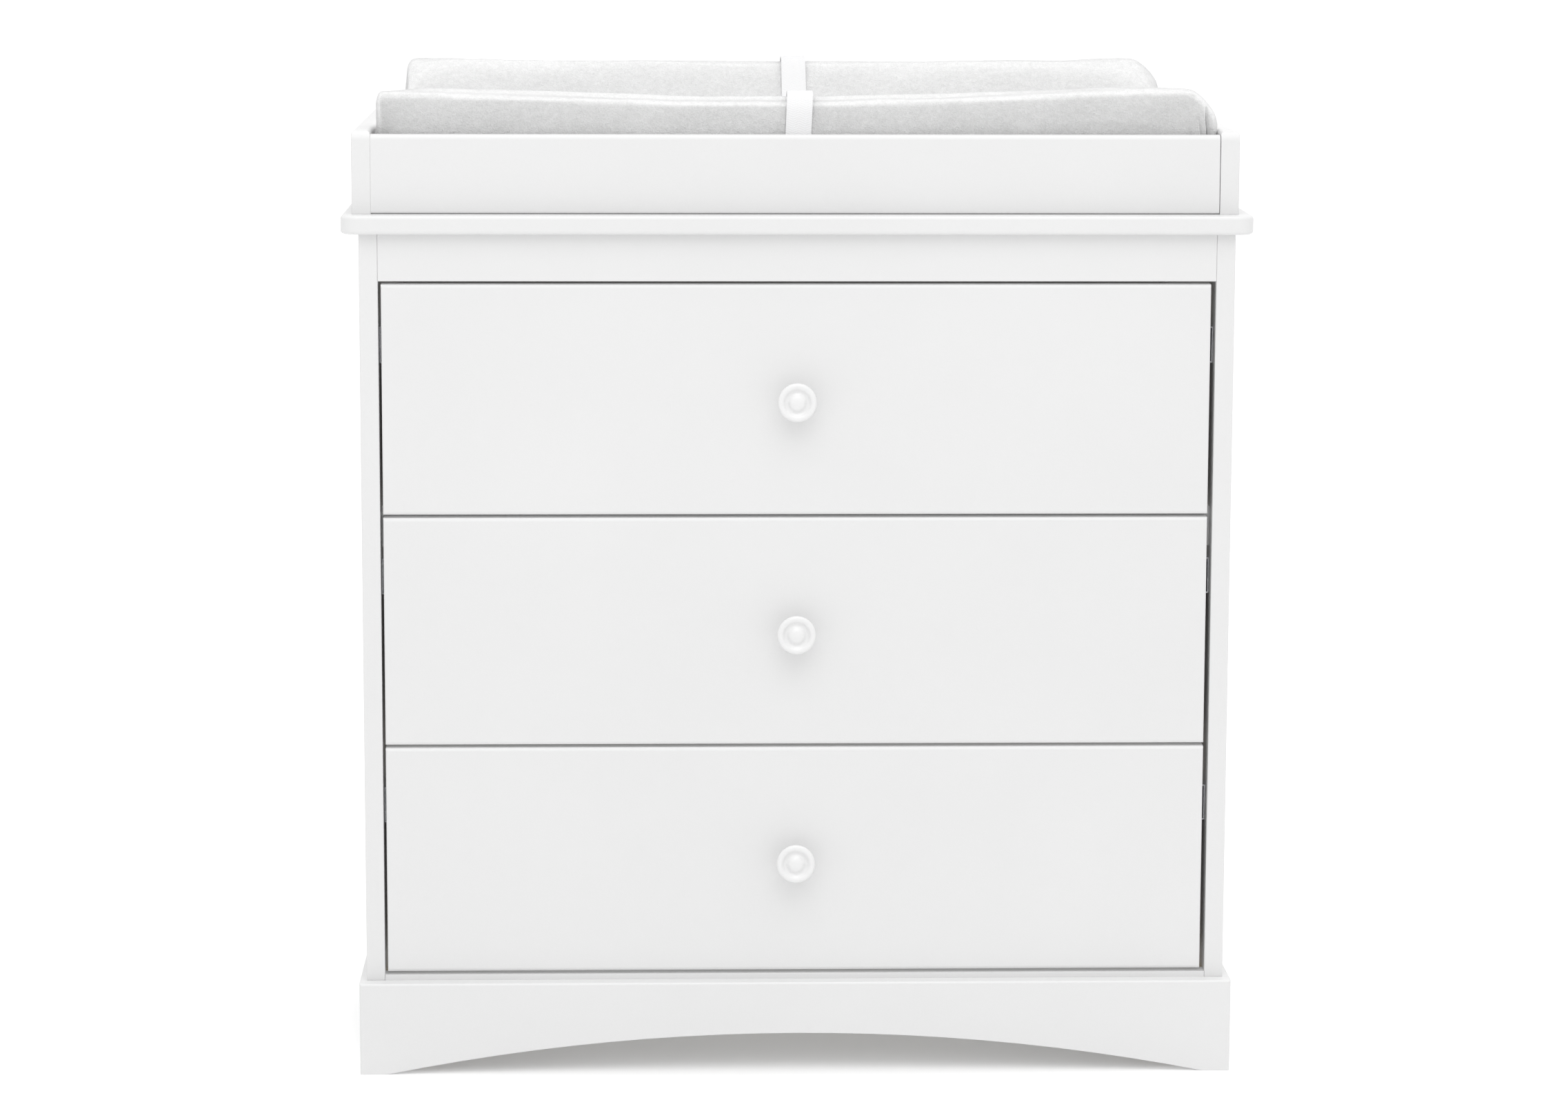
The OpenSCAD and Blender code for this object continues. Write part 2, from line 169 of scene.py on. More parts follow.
def makeGroup(name, inputs, outputs):
    group = bpy.data.node_groups.new(name, "ShaderNodeTree")
    kinds = dict(c="NodeSocketColor", f="NodeSocketFloat", v="NodeSocketVector")
    for label, kind, value in inputs:
        group.interface.new_socket(label, in_out="INPUT", socket_type=kinds[kind]).default_value = value
    for label, kind in outputs:
        group.interface.new_socket(label, in_out="OUTPUT", socket_type=kinds[kind])
    return group, group.nodes.new("NodeGroupInput").outputs, group.nodes.new("NodeGroupOutput").inputs


def useGroup(tree, group, inputs):
    made = tree.nodes.new("ShaderNodeGroup")
    made.node_tree = group
    for key, value in inputs.items():
        if isinstance(value, bpy.types.NodeSocket):
            tree.links.new(value, made.inputs[key])
        else:
            made.inputs[key].default_value = value
    return made.outputs


def newMaterial(name, uniform):
    made = bpy.data.materials.new(name)
    made.use_nodes = True
    tree = made.node_tree
    shader = tree.nodes["Principled BSDF"]
    for key, value in uniform.items():
        shader.inputs[key].default_value = value
    return made, tree, shader.inputs


def finishWith(tree, shader, outputs, sockets):
    for socket, label in sockets.items():
        tree.links.new(outputs[label], shader[socket])


# shared effects


def edgeWearAndHighlightGroup():  # rounds sharp arrises a little and says where they are; the finishes paint a highlight and a little wear there
    group, given, result = makeGroup("edgeWearAndHighlight", [("Radius", "f", 0.0012), ("Broken", "f", 0.35)],
                                     [("Mask", "f"), ("Normal", "v")])
    soft = node(group, "Bevel", {"Radius": given["Radius"]}, samples=6).outputs[0]
    flat = node(group, "NewGeometry").outputs["Normal"]
    turn = node(group, "VectorMath", {0: soft, 1: flat}, operation="DOT_PRODUCT").outputs["Value"]
    where = objectCoords(group)
    patches = remap(group, noiseValue(group, where, 45.0), 0.35, 0.65, given["Broken"], 1.0)
    edge = remap(group, turn, 1.0, 0.86, 0.0, 1.0)
    group.links.new(calc(group, "MULTIPLY", edge, patches), result["Mask"])
    group.links.new(soft, result["Normal"])
    return group


def paintGroup(edgeWearAndHighlight):  # sprayed satin paint over smooth board
    group, given, result = makeGroup(
        "satinPaint",
        [("Tint", "c", (0.8, 0.8, 0.8, 1)), ("Edge Tint", "c", (0.86, 0.86, 0.86, 1)), ("Gloss", "f", 0.38),
         ("Peel", "f", 0.12), ("Radius", "f", 0.0012)],
        [("Color", "c"), ("Roughness", "f"), ("Normal", "v")])
    where = objectCoords(group)
    broad = noiseValue(group, where, 3.2, 4.0, 0.6)
    fine = noiseValue(group, where, 620.0, 2.0)
    shade = calc(group, "ADD", remap(group, broad, 0.3, 0.7, 0.985, 1.01),
                 remap(group, fine, 0.3, 0.7, -0.006, 0.006))
    body = shaded(group, given["Tint"], shade)
    wearAndHighlight = useGroup(group, edgeWearAndHighlight, {"Radius": given["Radius"]})
    # painted highlight: the arrises take the paler Edge Tint, partly as wear
    group.links.new(mixColour(group, wearAndHighlight["Mask"], body, given["Edge Tint"]), result["Color"])
    smudge = remap(group, noiseValue(group, where, 22.0, 5.0, 0.65), 0.3, 0.72, -0.03, 0.05)
    gloss = calc(group, "ADD", given["Gloss"], smudge)
    group.links.new(calc(group, "SUBTRACT", gloss, calc(group, "MULTIPLY", wearAndHighlight["Mask"], 0.06)),
                    result["Roughness"])
    waves = calc(group, "ADD", noiseValue(group, where, 260.0, 1.0), calc(group, "MULTIPLY", fine, 0.4))
    group.links.new(bumped(group, given["Peel"], 0.0004, waves, wearAndHighlight["Normal"]), result["Normal"])
    return group


def grainGroup():  # straight grain, for bare wood and printed foil
    group, given, result = makeGroup(
        "straightGrain",
        [("Pale", "c", (0.8, 0.72, 0.58, 1)), ("Dark", "c", (0.62, 0.5, 0.36, 1)),
         ("Stretch", "v", (1, 1, 1)), ("Contrast", "f", 0.5), ("Relief", "f", 0.2)],
        [("Color", "c"), ("Roughness", "f"), ("Normal", "v")])
    along = scaledBy(group, objectCoords(group), given["Stretch"])
    rings = noiseValue(group, along, 9.0, 3.0, 0.6)
    bands = calc(group, "FRACT", calc(group, "MULTIPLY", rings, 9.0))
    pores = noiseValue(group, along, 130.0, 3.0, 0.7)
    figure = calc(group, "ADD", calc(group, "MULTIPLY", bands, 0.6), calc(group, "MULTIPLY", pores, 0.7))
    mask = calc(group, "MULTIPLY", remap(group, figure, 0.25, 1.05, 0.0, 1.0), given["Contrast"])
    group.links.new(mixColour(group, mask, given["Pale"], given["Dark"]), result["Color"])
    group.links.new(remap(group, pores, 0.3, 0.7, 0.5, 0.72), result["Roughness"])
    group.links.new(bumped(group, given["Relief"], 0.0006, pores), result["Normal"])
    return group


def pileGroup():  # short plush pile, brushed in patches
    group, given, result = makeGroup(
        "plushPile",
        [("Tint", "c", (0.7, 0.7, 0.7, 1)), ("Depth", "f", 0.5), ("Nap", "f", 0.06)],
        [("Color", "c"), ("Roughness", "f"), ("Normal", "v")])
    where = objectCoords(group)
    bent = noiseValue(group, where, 140.0, 2.0)
    sideways = calc(group, "MULTIPLY", bent, 0.002)
    downward = calc(group, "MULTIPLY", bent, -0.002)
    lean = node(group, "CombineXYZ", {0: sideways, 1: 0.0, 2: downward}).outputs[0]
    push = node(group, "VectorMath", {0: where, 1: lean}, operation="ADD").outputs[0]
    cells = node(group, "TexVoronoi", {"Vector": push, "Scale": 620.0}, feature="SMOOTH_F1")
    tufts = cells.outputs["Distance"]
    fibres = noiseValue(group, push, 900.0, 4.0, 0.7)
    clumps = noiseValue(group, where, 190.0, 3.0, 0.6)
    patches = noiseValue(group, where, 16.0, 4.0, 0.6)
    pile = calc(group, "ADD", calc(group, "SUBTRACT", fibres, calc(group, "MULTIPLY", tufts, 0.5)),
                calc(group, "MULTIPLY", clumps, 0.8))
    darkest, palest = calc(group, "SUBTRACT", 1.0, given["Nap"]), calc(group, "ADD", 1.0, given["Nap"])
    # painted shade: the low spots of the pile are darker, over random patches of tone
    shade = calc(group, "ADD", remap(group, patches, 0.3, 0.7, darkest, palest),
                 remap(group, pile, 0.45, 1.15, -0.10, 0.10))
    group.links.new(shaded(group, given["Tint"], shade), result["Color"])
    group.links.new(remap(group, pile, 0.4, 1.2, 0.98, 0.82), result["Roughness"])
    group.links.new(bumped(group, given["Depth"], 0.0011, pile), result["Normal"])
    return group


def weaveGroup():  # webbing threads along the strap's own UV, in millimetres
    group, given, result = makeGroup(
        "webbingWeave",
        [("Tint", "c", (0.85, 0.85, 0.85, 1)), ("Thread", "f", 1.1), ("Depth", "f", 0.5)],
        [("Color", "c"), ("Roughness", "f"), ("Normal", "v")])
    split = node(group, "SeparateXYZ", {0: node(group, "TexCoord").outputs["UV"]}).outputs
    turns = calc(group, "DIVIDE", math.tau, given["Thread"])
    across, along = calc(group, "MULTIPLY", split[0], turns), calc(group, "MULTIPLY", split[1], turns)
    warp = calc(group, "SINE", across)
    zigzag = calc(group, "MULTIPLY", calc(group, "PINGPONG", split[0], 6.0), 1.2)
    chevron = calc(group, "SINE", calc(group, "ADD", calc(group, "MULTIPLY", along, 0.5), zigzag))
    height = calc(group, "ADD", calc(group, "ABSOLUTE", warp), calc(group, "MULTIPLY", chevron, 0.45))
    fuzz = noiseValue(group, objectCoords(group), 1200.0, 2.0)
    # painted shade: the lower threads, between the raised ones, are darker; the fuzz is random tone
    shade = calc(group, "ADD", remap(group, height, 0.0, 1.3, 0.95, 1.02),
                 remap(group, fuzz, 0.3, 0.7, -0.02, 0.02))
    group.links.new(shaded(group, given["Tint"], shade), result["Color"])
    group.links.new(remap(group, height, 0.0, 1.4, 0.85, 0.6), result["Roughness"])
    group.links.new(bumped(group, given["Depth"], 0.0003, height), result["Normal"])
    return group


def zincGroup(edgeWearAndHighlight):  # bright zinc plate: faint spangle, rolled streaks and dull spots
    group, given, result = makeGroup(
        "zincPlate",
        [("Bright", "c", (0.66, 0.67, 0.69, 1)), ("Dull", "c", (0.5, 0.51, 0.53, 1)),
         ("Stretch", "v", (60, 3, 60))],
        [("Color", "c"), ("Roughness", "f"), ("Normal", "v")])
    where = objectCoords(group)
    streaks = noiseValue(group, scaledBy(group, where, given["Stretch"]), 8.0, 4.0, 0.6)
    spangle = node(group, "TexVoronoi", {"Vector": where, "Scale": 160.0}).outputs["Color"]
    grey = node(group, "RGBToBW", {0: spangle}).outputs[0]
    mask = remap(group, calc(group, "ADD", streaks, calc(group, "MULTIPLY", grey, 0.3)), 0.4, 0.9, 0.0, 1.0)
    wearAndHighlight = useGroup(group, edgeWearAndHighlight, {"Radius": 0.0004})
    body = mixColour(group, mask, given["Bright"], given["Dull"])
    # painted highlight: the arrises of the zinc turn paler, partly as wear
    group.links.new(mixColour(group, wearAndHighlight["Mask"], body, (0.8, 0.8, 0.82, 1)), result["Color"])
    group.links.new(remap(group, mask, 0.0, 1.0, 0.26, 0.44), result["Roughness"])
    group.links.new(bumped(group, 0.12, 0.0003, streaks, wearAndHighlight["Normal"]), result["Normal"])
    return group


plainSockets = {"Base Color": "Color", "Roughness": "Roughness", "Normal": "Normal"}
tints = dict(
    board=(0.675, 0.675, 0.675, 1), boardEdgeHighlight=(0.74, 0.74, 0.74, 1), knob=(0.71, 0.71, 0.71, 1),
    plush=(0.63, 0.63, 0.63, 1), paintedSheenTint=(0.85, 0.85, 0.85, 1), webbing=(0.755, 0.755, 0.76, 1),
    thread=(0.70, 0.70, 0.70, 1), plastic=(0.74, 0.74, 0.74, 1), floor=(0.93, 0.93, 0.93, 1),
    foil=(0.74, 0.72, 0.68, 1), foilGrain=(0.64, 0.61, 0.56, 1), hardboard=(0.7, 0.69, 0.66, 1),
    hardboardGrain=(0.62, 0.6, 0.56, 1), pine=(0.72, 0.58, 0.4, 1), pineGrain=(0.5, 0.35, 0.2, 1))


def makeMaterials():
    edgeWearAndHighlight = edgeWearAndHighlightGroup()
    paint, zinc = paintGroup(edgeWearAndHighlight), zincGroup(edgeWearAndHighlight)
    grain, pile, weave = grainGroup(), pileGroup(), weaveGroup()
    made = {}

    def grouped(name, group, values, uniform):
        material, tree, shader = newMaterial(name, uniform)
        finishWith(tree, shader, useGroup(tree, group, values), plainSockets)
        made[name] = material

    for name, tint, gloss, peel, radius, specular in (
            ("satinWhiteBoard", "board", 0.42, 0.10, 0.0012, 0.45),
            ("satinWhiteKnob", "knob", 0.3, 0.06, 0.0006, 0.5),
            ("whitePlastic", "plastic", 0.46, 0.3, 0.0004, 0.45)):
        grouped(name, paint, {"Tint": tints[tint], "Edge Tint": tints["boardEdgeHighlight"], "Gloss": gloss,
                              "Peel": peel, "Radius": radius}, {"Specular IOR Level": specular})
    for name, pale, dark, stretch, contrast, relief in (
            ("drawerFoil", "foil", "foilGrain", (18, 1, 18), 0.45, 0.12),
            ("drawerBackFoil", "foil", "foilGrain", (1, 18, 18), 0.45, 0.12),
            ("hardboardFoil", "hardboard", "hardboardGrain", (2.5, 2.5, 1.0), 0.3, 0.3),
            ("barePine", "pine", "pineGrain", (14, 14, 1), 0.6, 0.35)):
        grouped(name, grain, {"Pale": tints[pale], "Dark": tints[dark], "Stretch": stretch,
                              "Contrast": contrast, "Relief": relief}, {})
    grouped("zincSteel", zinc, {"Stretch": (60, 3, 60)}, {"Metallic": 1.0})
    material, tree, shader = newMaterial("plushCover", {"Sheen Weight": 0.3, "Sheen Roughness": 0.5,
                                                        "Specular IOR Level": 0.1})
    soft = useGroup(tree, pile, {"Tint": tints["plush"], "Depth": 1.0, "Nap": 0.04})
    finishWith(tree, shader, soft, plainSockets)
    aslant = node(tree, "LayerWeight", {"Blend": 0.5}).outputs["Facing"]  # painted sheen: the colour turns paler where the pile is seen from the side
    sheenCopy = useGroup(tree, pile, {"Tint": tints["paintedSheenTint"], "Depth": 1.0, "Nap": 0.02})
    share = calc(tree, "MULTIPLY", remap(tree, aslant, 0.12, 0.43, 0.0, 1.0),
                 remap(tree, aslant, 0.6, 0.95, 1.0, 0.3))
    tree.links.new(mixColour(tree, share, soft["Color"], sheenCopy["Color"]), shader["Base Color"])
    made["plushCover"] = material
    grouped("strapWebbing", weave, {"Tint": tints["webbing"], "Thread": 1.1, "Depth": 0.4},
            {"Sheen Weight": 0.1, "Specular IOR Level": 0.25})
    grouped("sewingThread", weave, {"Tint": tints["thread"], "Thread": 0.4, "Depth": 0.3}, {})

    material, tree, shader = newMaterial("paleFloor", {"Specular IOR Level": 0.0, "Roughness": 0.9})
    shade = remap(tree, noiseValue(tree, objectCoords(tree), 0.8), 0.3, 0.7, 0.99, 1.0)
    tree.links.new(shaded(tree, tints["floor"], shade), shader["Base Color"])
    made["paleFloor"] = material
    return made


materials = makeMaterials()
print("materials made")

# making pieces


def addPiece(name, mesh, material, body, replaced=()):
    made = bpy.data.objects.new(name, mesh)
    bpy.context.collection.objects.link(made)
    mesh.materials.clear()
    mesh.materials.append(materials[material])
    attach(made, body)
    if replaced:
        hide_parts(*replaced)
    return made


def meshFrom(bm, name, smooth=True):
    bmesh.ops.recalc_face_normals(bm, faces=bm.faces)
    for face in bm.faces:
        face.smooth = smooth
    mesh = bpy.data.meshes.new(name)
    bm.to_mesh(mesh)
    bm.free()
    return mesh


def bevelEdges(bm, edges, width, segments=3):
    bmesh.ops.bevel(bm, geom=list(edges), offset=width, offset_type="OFFSET", segments=segments,
                    profile=0.5, affect="EDGES", clamp_overlap=True, material=-1)


def boxIn(bm, low, high):
    low, high = Vector(low), Vector(high)
    size = high - low
    place = Matrix.Translation((low + high) / 2) @ Matrix.Diagonal((*size, 1.0))
    return bmesh.ops.create_cube(bm, size=1.0, matrix=place)["verts"]


def applied(made):  # swaps the mesh for the one its modifiers make
    ready = made.evaluated_get(bpy.context.evaluated_depsgraph_get())
    mesh = bpy.data.meshes.new_from_object(ready)
    made.modifiers.clear()
    made.data = mesh
    return mesh


def smoothStep(low, high, value):
    t = min(max((value - low) / (high - low), 0.0), 1.0)
    return t * t * (3 - 2 * t)


def makeFloor():
    bm = bmesh.new()
    bmesh.ops.create_grid(bm, x_segments=2, y_segments=2, size=studio["floorHalf"])
    mesh = meshFrom(bm, "studioFloor", False)
    made = bpy.data.objects.new("studioFloor", mesh)
    bpy.context.collection.objects.link(made)
    mesh.materials.append(materials["paleFloor"])
    made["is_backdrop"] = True


# boards, runners and drawer boxes keep their own shape and take a finish

finishes = dict(
    satinWhiteBoard=["top_board", "left_side_panel", "right_side_panel", "top_front_rail", "top_back_rail",
                     "cross_rail", "bottom_front_rail", "base_front", "base_left", "base_right",
                     "base_back", "tray_front_rail", "tray_back_rail", "tray_left_rail", "tray_right_rail"],
    hardboardFoil=["back_panel"], barePine=["base_corner_blocks"], whitePlastic=["cam_covers"],
    zincSteel=["corner_brackets", "tray_brackets"])
levels = ["lower", "middle", "upper"]


def paintNodes():
    wanted = {name: finish for finish, names in finishes.items() for name in names}
    for level in levels:
        wanted[level + "_front"] = "satinWhiteBoard"
        wanted[level + "_box_left"] = wanted[level + "_box_right"] = "drawerFoil"
        wanted[level + "_box_back"] = "drawerBackFoil"
        wanted[level + "_box_bottom"] = "hardboardFoil"
        for metal in ("_fixings", "_runner_outer", "_runner_mid", "_runner_inner"):
            wanted[level + metal] = "zincSteel"
    for name, finish in wanted.items():
        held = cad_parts[name]
        for place in held.material_slots:
            place.material = materials[finish]


makeFloor()
paintNodes()
print("boards and runners finished")

# turned knobs

knob = dict(steps=96, profile=[
    (0.0, 0.0), (10.8, 0.0), (11.0, 0.3), (11.0, 1.2), (10.4, 1.8), (9.0, 2.6), (8.1, 4.2), (7.8, 7.0),
    (8.0, 10.0), (9.0, 13.2), (11.6, 16.2), (15.0, 18.2), (17.4, 19.4), (18.6, 20.7), (18.9, 22.2),
    (18.5, 23.8), (17.4, 24.8), (15.9, 25.2), (14.3, 24.9), (13.1, 24.0), (12.2, 22.7), (11.3, 21.9),
    (10.2, 21.6), (9.2, 21.8), (8.3, 22.5), (7.2, 23.8), (5.6, 24.9), (3.2, 25.7), (0.0, 26.0)])


def makeKnob(level):
    low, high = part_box(level + "_knob")
    bm = bmesh.new()
    dots = [bm.verts.new((r / 1000, 0.0, h / 1000)) for r, h in knob["profile"]]
    lines = [bm.edges.new(pair) for pair in zip(dots, dots[1:])]
    bmesh.ops.spin(bm, geom=dots + lines, cent=(0, 0, 0), axis=(0, 0, 1), dvec=(0, 0, 0),
                   angle=math.tau, steps=knob["steps"], use_merge=True)
    bmesh.ops.remove_doubles(bm, verts=bm.verts, dist=0.00001)
    place = Matrix.Translation(((low[0] + high[0]) / 2, high[1], (low[2] + high[2]) / 2))
    bmesh.ops.transform(bm, matrix=place @ Matrix.Rotation(math.radians(90), 4, "X"), verts=bm.verts)
    made = addPiece(level + "KnobTurned", meshFrom(bm, level + "KnobTurned"), "satinWhiteKnob",
                    level + "_drawer", [level + "_knob"])
    finer = made.modifiers.new("finer", "SUBSURF")
    finer.levels = finer.render_levels = 1


for level in levels:
    makeKnob(level)
print("knobs turned")

# screws with cross recesses

screw = dict(radius=0.004, height=0.0024, cross=0.0022, blade=0.0008, depth=0.0011,
             bracketSpan=0.28, bracketInset=0.0164)  # the span is from the first to the last bracket


def screwInto(bm, place, radius):
    scale = radius / screw["radius"]
    head = bmesh.ops.create_cone(bm, cap_ends=True, segments=24, radius1=radius, radius2=radius * 0.72,
                                 depth=screw["height"] * scale)["verts"]
    bmesh.ops.translate(bm, verts=head, vec=(0, 0, screw["height"] * scale / 2))
    top = max((f for v in head for f in v.link_faces), key=lambda f: f.calc_center_median().z)
    ring = bmesh.ops.inset_individual(bm, faces=[top], thickness=radius * 0.14,
                                      depth=radius * 0.05)["faces"]
    disc = bmesh.ops.inset_individual(bm, faces=[top], thickness=radius * 0.1, depth=0.0)["faces"]
    ends = bmesh.ops.extrude_discrete_faces(bm, faces=[top])["faces"]
    inner = list(ends[0].verts)
    for vert in inner:  # the recess keeps four blades and closes in between them
        angle = math.atan2(vert.co.y, vert.co.x)
        reach = screw["cross"] * scale if abs(math.sin(2 * angle)) < 0.5 else screw["blade"] * scale
        vert.co.xy = (reach * math.cos(angle), reach * math.sin(angle))
        vert.co.z -= screw["depth"] * scale
    made = set(head) | {v for f in ring + disc + ends for v in f.verts}
    bmesh.ops.transform(bm, matrix=place, verts=list(made))


def facing(point, direction):
    return Matrix.Translation(point) @ Vector(direction).to_track_quat("Z", "Y").to_matrix().to_4x4()


def makeScrews():
    radius = screw["radius"]
    low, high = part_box("tray_screws")
    bm = bmesh.new()
    middle = (low[0] + high[0]) / 2
    for x in (low[0] + radius, middle, high[0] - radius):
        screwInto(bm, facing((x, low[1], (low[2] + high[2]) / 2), (0, 1, 0)), radius)
    addPiece("trayScrewHeads", meshFrom(bm, "trayScrewHeads", False), "zincSteel", "carcass",
             ["tray_screws"])
    low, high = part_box("bracket_screws")
    bm = bmesh.new()
    for side in (-1, 1):
        for step in (0, 1, 2):
            y = low[1] + radius + step * screw["bracketSpan"] / 2
            x = side * (high[0] - screw["bracketInset"])
            screwInto(bm, facing((x, y, high[2]), (0, 0, -1)), radius)
            screwInto(bm, facing((side * high[0], y, low[2] + radius), (-side, 0, 0)), radius)
    addPiece("bracketScrewHeads", meshFrom(bm, "bracketScrewHeads", False), "zincSteel", "carcass",
             ["bracket_screws"])


pins = dict(inset=0.009, lowest=0.024, apart=0.075, radius=0.0026, proud=0.0007)


def makePins():  # panel pins round the edge of the back
    low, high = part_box("back_panel")
    edge, bottom = pins["inset"], low[2] + pins["inset"] + pins["lowest"]
    wide, tall = high[0] - low[0] - 2 * edge, high[2] - low[2] - 2 * edge
    across, up = int(wide / pins["apart"]), int(tall / pins["apart"])
    spots = [(low[0] + edge + wide * i / across, z) for i in range(across + 1)
             for z in (bottom, high[2] - edge)]
    spots += [(x, bottom + (tall - pins["lowest"]) * i / up) for i in range(1, up)
              for x in (low[0] + edge, high[0] - edge)]
    bm = bmesh.new()
    shape = Matrix.Diagonal((pins["radius"], pins["proud"], pins["radius"], 1))
    for x, z in spots:
        bmesh.ops.create_uvsphere(bm, u_segments=10, v_segments=6, radius=1.0,
                                  matrix=Matrix.Translation((x, high[1], z)) @ shape)
    addPiece("backPanelPins", meshFrom(bm, "backPanelPins"), "zincSteel", "carcass")


makeScrews()
makePins()
print("screws and pins made")

# pad: foam with two raised sides in a plush cover

pad = dict(frontCrest=0.1186, rearCrest=0.1325, middle=0.048, crestIn=0.015, crestRound=0.013,
           slope=0.130, frontDip=0.0082, rearDip=0.0010, leftRound=0.007, leftPower=2.0, rightRound=0.029,
           rightPower=1.35, planRound=0.014, rearShort=0.0105, rightHigher=0.0024, rightLonger=0.0045,
           smaller=0.0008, cuts=(79, 63, 9), voxel=0.006, trayGap=0.0006)
cover = dict(mass=0.3, stretch=12.0, shear=4.0, bend=0.6, pressure=4.0, frames=20, quality=4, cap=0.0045)
padLow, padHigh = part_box("pad")
padMiddle = (padLow[0] + padHigh[0]) / 2
padHalf = (padHigh[0] - padLow[0]) / 2
padDeep = padHigh[1] - padLow[1]


def crestHeights(x):
    front = pad["frontCrest"] - pad["frontDip"] * (1 - smoothStep(0.03, 0.36, abs(x + 0.03)))
    front += pad["rightHigher"] * smoothStep(0.15, 0.35, x)
    rear = pad["rearCrest"] - pad["rearDip"] * (1 - smoothStep(0.04, 0.30, abs(x)))
    return front, rear


def padTop(x, y):  # height of the foam at x from the middle and y from the front edge
    front, rear = crestHeights(x)
    crest, inward = (front, y) if y < padDeep / 2 else (rear, padDeep - y)
    if inward < pad["crestIn"]:
        rise = (pad["crestIn"] - inward) / pad["crestIn"]
        return crest - pad["crestRound"] * (1 - math.sqrt(max(1 - rise * rise, 0)))
    fall = min((inward - pad["crestIn"]) / pad["slope"], 1.0)
    return crest - (crest - pad["middle"]) * (1 - math.cos(math.pi * fall)) / 2


def padEnd(side, y, z):  # half length of the foam towards one end
    rearness = smoothStep(0.22, 0.36, y)
    corner = min(y, padDeep - y)
    plan = max(pad["planRound"] - corner, 0.0)
    curve = pad["planRound"] - math.sqrt(pad["planRound"] ** 2 - plan ** 2)
    longer = pad["rightLonger"] * (1 - rearness) if side > 0 else 0.0
    shorter = pad["rearShort"] * rearness * smoothStep(0.0, 0.12, z)
    return padHalf + longer - pad["smaller"] - curve - shorter


def shapedPad():
    bm = bmesh.new()
    bmesh.ops.create_cube(bm, size=2.0)
    for axis, cuts in enumerate(pad["cuts"]):
        lines = [e for e in bm.edges if abs(e.verts[0].co[axis] - e.verts[1].co[axis]) > 1e-6]
        bmesh.ops.subdivide_edges(bm, edges=lines, cuts=cuts, use_grid_fill=True)
    for vert in bm.verts:
        u, v, w = vert.co
        u, v = math.sin(u * math.pi / 2), math.sin(v * math.pi / 2)
        y = padDeep / 2 + v * (padDeep / 2 - pad["smaller"])
        share = (w + 1) / 2
        side = 1 if u > 0 else -1
        end = "right" if side > 0 else "left"
        rounding, power = pad[end + "Round"], pad[end + "Power"]
        flat = padTop(u * padHalf, y)
        z = share * flat
        half = padEnd(side, y, z)
        x = u * half
        gap = min(max(1 - (half - abs(x)) / rounding, 0.0), 1.0)
        top = flat - rounding * (1 - (1 - gap ** power) ** (1 / power))
        vert.co = (padMiddle + x, padLow[1] + y, padLow[2] + share * top)
    return bm


def swollen(made):  # cloth with a little air in it, held within a few millimetres of the foam
    before = [v.co.copy() for v in made.data.vertices]
    cloth = made.modifiers.new("cover", "CLOTH")
    settings = cloth.settings
    settings.quality = cover["quality"]
    settings.mass = cover["mass"]
    settings.tension_stiffness = settings.compression_stiffness = cover["stretch"]
    settings.shear_stiffness = cover["shear"]
    settings.bending_stiffness = cover["bend"]
    settings.use_pressure = True
    settings.uniform_pressure_force = cover["pressure"]
    settings.effector_weights.gravity = 0.0
    cloth.point_cache.frame_start, cloth.point_cache.frame_end = 1, cover["frames"]
    scene = bpy.context.scene
    for step in range(1, cover["frames"] + 1):
        scene.frame_set(step)
    mesh = applied(made)
    scene.frame_set(1)
    for vert, old in zip(mesh.vertices, before):
        move = vert.co - old
        if move.length > cover["cap"]:
            vert.co = old + move.normalized() * cover["cap"]


folds = dict(  # gathers where the cover is pulled round the right front corner, and a long crease
    gathers=[dict(x=0.3990, lean=0.08, top=0.106, depth=0.0050, wide=0.0011),
             dict(x=0.3935, lean=0.16, top=0.100, depth=0.0022, wide=0.0012),
             dict(x=0.3840, lean=0.24, top=0.092, depth=0.0010, wide=0.0018)],
    crease=dict(fromX=0.275, toX=0.345, height=0.0885, fall=0.05, depth=0.0007, wide=0.0022),
    lumps=[dict(scale=(11, 16, 16), shift=(0, 0, 0), depth=0.0009),
           dict(scale=(42, 42, 42), shift=(7, 0, 0), depth=0.00035),
           dict(scale=(300, 300, 300), shift=(0, 0, 3), depth=0.00018)],
    finer=dict(x=0.372, y=0.035, z=0.055, cuts=2))


def finerCorner(mesh):  # smaller faces where the cover is gathered
    bm = bmesh.new()
    bm.from_mesh(mesh)
    part = folds["finer"]
    inside = {v for v in bm.verts if v.co.x - padMiddle > part["x"] and v.co.y - padLow[1] < part["y"]
              and v.co.z - padLow[2] > part["z"]}
    edges = [e for e in bm.edges if e.verts[0] in inside and e.verts[1] in inside]
    bmesh.ops.subdivide_edges(bm, edges=edges, cuts=part["cuts"], use_grid_fill=True, smooth=0.6)
    bm.to_mesh(mesh)
    bm.free()


